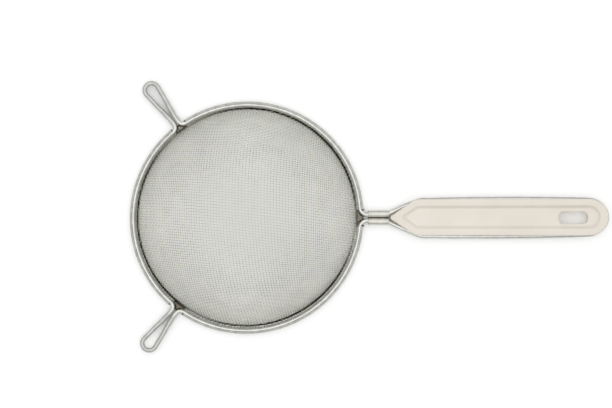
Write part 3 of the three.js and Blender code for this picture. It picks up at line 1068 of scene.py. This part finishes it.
def neck_sleeve():
    start = ferrule_low.x
    end = ferrule_high.x + SLEEVE_LIP
    rounding = [(0, SLEEVE_EDGE), (SLEEVE_EDGE_MIDDLE, SLEEVE_EDGE_MIDDLE), (SLEEVE_EDGE, 0)]
    stations = [(start + along, inset) for along, inset in rounding]
    stations += [(end - along, inset) for along, inset in reversed(rounding)]
    sleeve = make_skin("sleeve", [along_handle(sleeve_outline(inset), x) for x, inset in stations])
    bores = []
    for y in (TAIL_OFFSET, -TAIL_OFFSET):
        circle = arc(y, 0, CURL_RADIUS, CURL_RADIUS, 0, TURN, steps=28)[:-1]
        ends = (start - CUTTER_MARGIN, FERRULE_MIDDLE)
        bores.append(make_skin("bore", [along_handle(circle, x) for x in ends]))
    cut(sleeve, [*bores, groove_cutter()])
    # The seam between the barrels is painted dark, as painted shade in it
    set_share(sleeve.data, "shade_and_dirt", ramp(np.abs(vertex_places(sleeve)[:, 1]), SEAM_REACH, BARREL_SEAM))
    return sleeve


# Grip


def grip_outline(inset, end_ramp):
    """The grip's outline in plan, anticlockwise, drawn in by an inset all round and a ramp at its end."""
    sine = math.sin(NOSE_ANGLE)
    apex = front_low.x - NOSE_RADIUS * (1 / sine - 1) + inset / sine
    side = GRIP_WIDTH / 2 - inset
    shoulder = max(SHOULDER_LEAST, SHOULDER_RADIUS - inset)
    nose_x = apex + NOSE_RADIUS / sine
    shoulder_x = apex + (shoulder + (side - shoulder) * math.cos(NOSE_ANGLE)) / sine
    end_x = front_high.x - GRIP_END_DEPTH
    end_reach = GRIP_END_DEPTH - GRIP_END_INSET - inset - end_ramp
    upper = np.concatenate(
        [
            arc(nose_x, 0, NOSE_RADIUS, NOSE_RADIUS, math.pi, QUARTER + NOSE_ANGLE, steps=10),
            arc(shoulder_x, side - shoulder, shoulder, shoulder, QUARTER + NOSE_ANGLE, QUARTER, steps=16),
            arc(end_x, 0, end_reach, side, QUARTER, 0, steps=32),
        ]
    )
    bow = GRIP_BULGE - GRIP_BOW * ((upper[:, 0] - GRIP_BOW_CENTRE) / GRIP_BOW_REACH) ** 2
    bow *= ramp(upper[:, 1] + inset, *GRIP_BOW_EDGE)
    bowed = upper + np.column_stack([np.zeros(len(upper)), bow])
    lower = upper * [1, -1 - GRIP_LOWER_BULGE / (GRIP_WIDTH / 2)]
    outline = np.concatenate([lower, bowed[-2:0:-1]])
    outline[:, 1] += GRIP_SHIFT * ramp(outline[:, 0] - front_low.x, 0, NOSE_SKEW)
    return outline


def grip_loft(name, profile):
    """A body over the grip's outline, from a profile of insets and heights."""
    loops = []
    for inset, z in profile:
        border = float(ramp(inset, RECESS_BORDER, RECESS_MARGIN))
        bevel = float(ramp(inset, RECESS_MARGIN, RECESS_MARGIN + RECESS_BEVEL))
        end_ramp = border * RECESS_END_SHIFT + bevel**RECESS_RAMP_POWER * RECESS_RAMP
        loops.append(at_level(grip_outline(inset, end_ramp), z))
    return make_skin(name, loops)


def fillet(radius, start, corner, end, steps):
    """Points of a rounded corner between two straight lines."""
    start, corner, end = (np.array(point, float) for point in (start, corner, end))
    back = unit(start - corner)
    ahead = unit(end - corner)
    half = math.acos(float(back @ ahead)) / 2
    reach = radius / math.tan(half)
    centre = corner + unit(back + ahead) * radius / math.sin(half)
    first = corner + back * reach - centre
    last = corner + ahead * reach - centre
    sweep = math.pi - 2 * half
    points = []
    for share in np.linspace(0, 1, steps + 1):
        a = math.sin((1 - share) * sweep) / math.sin(sweep)
        b = math.sin(share * sweep) / math.sin(sweep)
        points.append(tuple(centre + a * first + b * last))
    return points


def slot_outline(grow):
    corner = SLOT_CORNER + grow
    end = front_high.x - SLOT_MARGIN - SLOT_CORNER
    start = front_high.x - SLOT_MARGIN - SLOT_LENGTH + SLOT_CORNER
    side = SLOT_WIDTH / 2 - SLOT_CORNER
    arcs = []
    for number, (x, y) in enumerate([(end, side), (start, side), (start, -side), (end, -side)]):
        arcs.append(arc(x, y, corner, corner, number * QUARTER, (number + 1) * QUARTER, steps=10))
    return np.concatenate(arcs)


def slot_cutter():
    """The hanging slot, which has round edges and widens with depth."""
    floor = GRIP_TOP - RECESS_DEPTH
    soft = SLOT_ROUNDING
    turns = np.linspace(0, QUARTER, num=6)
    levels = [(soft + CUTTER_MARGIN, -CUTTER_MARGIN), (soft, 0)]
    for turn in turns[1:]:
        levels.append((soft * (1 - math.sin(turn)), soft * (1 - math.cos(turn))))
    for turn in turns:
        levels.append((soft * (1 - math.cos(turn)), floor - soft * (1 - math.sin(turn))))
    levels.append((soft + CUTTER_MARGIN, floor + CUTTER_MARGIN))
    loops = []
    for grow, z in levels:
        draft = SLOT_DRAFT * float(ramp(z, floor, 0))
        loops.append(at_level(slot_outline(grow + draft), z))
    return make_skin("slot", loops)


def grip_shell(name, profile):
    shell = grip_loft(name, profile)
    cut(shell, [slot_cutter(), groove_cutter()])
    return shell


def grip_front():
    floor = GRIP_TOP - RECESS_DEPTH
    outer = (0, front_low.z)
    edge = (0, GRIP_TOP)
    ridge = (RECESS_MARGIN, GRIP_TOP)
    foot = (RECESS_MARGIN + RECESS_BEVEL, floor)
    middle = (RECESS_MARGIN + RECESS_BEVEL + GRIP_FLAT, floor)
    profile = [outer]
    profile += fillet(FRONT_ROUNDING, outer, edge, ridge, steps=8)
    profile += fillet(FRONT_ROUNDING, edge, ridge, foot, steps=6)
    for share in RECESS_BEVEL_SHARES:
        profile.append((RECESS_MARGIN + share * RECESS_BEVEL, GRIP_TOP - share * RECESS_DEPTH))
    profile += fillet(FRONT_ROUNDING, ridge, foot, middle, steps=6)
    return grip_shell("grip_front", profile)


def grip_back():
    outer = (0, back_high.z)
    edge = (0, 0)
    inner = (GRIP_FLAT, 0)
    split = (0, WIRE_LEVEL - FIT_GAP / 2)
    return grip_shell("grip_back", fillet(BACK_ROUNDING, inner, edge, outer, steps=6) + [split])


# Floor, light and camera


def enclosed_patches():
    """Floor that the object goes round, where the lift is held back to leave painted shade.

    Each patch is a stretch of a ray from the centre of the rim: its angle, its two ends, its inner and
    outer edge and the lift that it keeps, which may differ from end to end.
    """
    slot_x = front_high.x - SLOT_MARGIN - SLOT_LENGTH / 2
    patches = [
        (0, 0, 0, 0, MOUTH_RADIUS, CROWN_LIFT),
        (0, slot_x - SLOT_LIFT_REACH, slot_x + SLOT_LIFT_REACH, *SLOT_EDGE, SLOT_LIFT),
        (0, NECK_FLOOR_START, front_low.x, *NECK_EDGE, 0),
    ]
    for angle, kept in ((UPPER_EAR, UPPER_EAR_LIFT), (LOWER_EAR, LOWER_EAR_LIFT)):
        patches.append((angle, EAR_ROOT, EAR_ROOT, *EAR_ROOT_EDGE, 0))
        patches.append((angle, EAR_FLOOR_START, EAR_HEAD_X, *EAR_EDGE, kept))
    return patches


def patch_share(nodes, links, angle, low, high, inner, outer, kept, away=1.0):
    """Share of the lift on a patch of floor along a ray from the centre of the rim, and away from it."""
    start = RIM_CENTRE.x + low * MM
    end = RIM_CENTRE.x + high * MM
    place = nodes.new("ShaderNodeTexCoord")
    turn = nodes.new("ShaderNodeVectorRotate")
    turn.rotation_type = "Z_AXIS"
    turn.inputs["Center"].default_value = RIM_CENTRE
    turn.inputs["Angle"].default_value = -angle
    links.new(place.outputs["Object"], turn.inputs["Vector"])
    parts = nodes.new("ShaderNodeSeparateXYZ")
    links.new(turn.outputs["Vector"], parts.inputs["Vector"])
    nearest = nodes.new("ShaderNodeClamp")
    nearest.inputs["Min"].default_value = start
    nearest.inputs["Max"].default_value = end
    links.new(parts.outputs["X"], nearest.inputs["Value"])
    along = nearest.outputs["Result"]
    spot = nodes.new("ShaderNodeCombineXYZ")
    spot.inputs["Y"].default_value = RIM_CENTRE.y
    spot.inputs["Z"].default_value = FLOOR_LEVEL * MM
    links.new(along, spot.inputs["X"])
    distance = nodes.new("ShaderNodeVectorMath")
    distance.operation = "DISTANCE"
    links.new(turn.outputs["Vector"], distance.inputs[0])
    links.new(spot.outputs["Vector"], distance.inputs[1])
    if isinstance(kept, tuple):
        kept = map_range(nodes, links, along, start, end, *kept)
    return map_range(nodes, links, distance.outputs["Value"], inner * MM, outer * MM, kept, away)


def floor_material():
    """White floor that keeps shadows. Outside the object's outline it is lifted to the picture's white;
    inside it the lift is held back, which paints shade under the bowl and its crown and in the slot, neck
    and ears.
    """
    material, nodes, links, shader = shader_tree("floor_white")
    shader.inputs["Base Color"].default_value = FLOOR_COLOUR
    shader.inputs["Roughness"].default_value = 1.0
    shader.inputs["Specular IOR Level"].default_value = 0.0
    shader.inputs["Emission Color"].default_value = WHITE
    path = nodes.new("ShaderNodeLightPath")
    glossy = combined(nodes, links, "MULTIPLY", path.outputs["Is Glossy Ray"], GLOSSY_LIFT)
    seen = combined(nodes, links, "MAXIMUM", path.outputs["Is Camera Ray"], glossy)
    below_bowl = patch_share(nodes, links, 0, 0, 0, *BOWL_EDGE, BOWL_LIFT, 0.0)
    round_bowl = patch_share(nodes, links, 0, 0, 0, *HOOP_EDGE, 0.0)
    bowl = combined(nodes, links, "ADD", below_bowl, round_bowl)
    lift = combined(nodes, links, "MULTIPLY", seen, bowl)
    for patch in enclosed_patches():
        lift = combined(nodes, links, "MULTIPLY", lift, patch_share(nodes, links, *patch))
    lift = combined(nodes, links, "MULTIPLY", lift, FLOOR_LIFT)
    links.new(lift, shader.inputs["Emission Strength"])
    return material


def add_floor():
    reach = FLOOR_REACH
    corners = np.array([[-reach, -reach], [reach, -reach], [reach, reach], [-reach, reach]])
    floor = make_object("floor", at_level(corners, FLOOR_LEVEL), [(0, 1, 2, 3)])
    floor.data.materials.append(floor_material())


def add_world():
    """Soft light from all round, stronger from above. The camera sees plain white."""
    world = bpy.data.worlds.new("studio")
    bpy.context.scene.world = world
    world.use_nodes = True
    nodes = world.node_tree.nodes
    links = world.node_tree.links
    light = nodes["Background"]
    light.inputs["Color"].default_value = WHITE
    place = nodes.new("ShaderNodeTexCoord")
    parts = nodes.new("ShaderNodeSeparateXYZ")
    links.new(place.outputs["Generated"], parts.inputs["Vector"])
    strength = map_range(nodes, links, parts.outputs["Z"], 0.0, 1.0, HORIZON_LIGHT, ZENITH_LIGHT)
    links.new(strength, light.inputs["Strength"])
    seen = nodes.new("ShaderNodeBackground")
    seen.inputs["Color"].default_value = WHITE
    seen.inputs["Strength"].default_value = 1.0
    path = nodes.new("ShaderNodeLightPath")
    mix = nodes.new("ShaderNodeMixShader")
    links.new(path.outputs["Is Camera Ray"], mix.inputs["Fac"])
    links.new(light.outputs["Background"], mix.inputs[1])
    links.new(seen.outputs["Background"], mix.inputs[2])
    links.new(mix.outputs["Shader"], nodes["World Output"].inputs["Surface"])


def add_key_light():
    data = bpy.data.lights.new("key", "AREA")
    data.shape = "DISK"
    data.size = KEY_SIZE
    data.energy = KEY_POWER
    lamp = bpy.data.objects.new("key", data)
    lamp.location = KEY_PLACE
    lamp.rotation_euler = (-Vector(KEY_PLACE)).to_track_quat("-Z", "Y").to_euler()
    bpy.context.scene.collection.objects.link(lamp)


def add_camera():
    data = bpy.data.cameras.new("camera")
    data.sensor_width = SENSOR_WIDTH
    data.lens = SENSOR_WIDTH * CAMERA_HEIGHT / PICTURE_WIDTH
    camera = bpy.data.objects.new("camera", data)
    camera.location = RIM_CENTRE + Vector((CAMERA_X, CAMERA_Y, CAMERA_HEIGHT + WIRE_LEVEL)) * MM
    bpy.context.scene.collection.objects.link(camera)
    bpy.context.scene.camera = camera


# The whole scene

woven_cloth()
dress(rim_band(), STRIP_STEEL, "rim_band")
dress(rim_wire(), WIRE_STEEL, "rim_wire")
dress(grip_wire(), WIRE_STEEL, "grip_wire")
weld_lump("weld_of_upper_ear", "ear_weld_upper", EAR_EXIT, EAR_WELD_REACH, UPPER_EAR)
weld_lump("weld_of_lower_ear", "ear_weld_lower", EAR_EXIT, EAR_WELD_REACH, LOWER_EAR)
weld_lump("weld_of_neck", "neck_weld", NECK_EXIT, NECK_WELD_REACH, 0)
dress(neck_sleeve(), SLEEVE_STEEL, "neck_ferrule")
dress(grip_front(), CREAM_PLASTIC, "grip_front_shell")
dress(grip_back(), CREAM_PLASTIC, "grip_back_shell")
add_floor()
add_world()
add_key_light()
add_camera()
bpy.context.scene.view_settings.view_transform = "Standard"
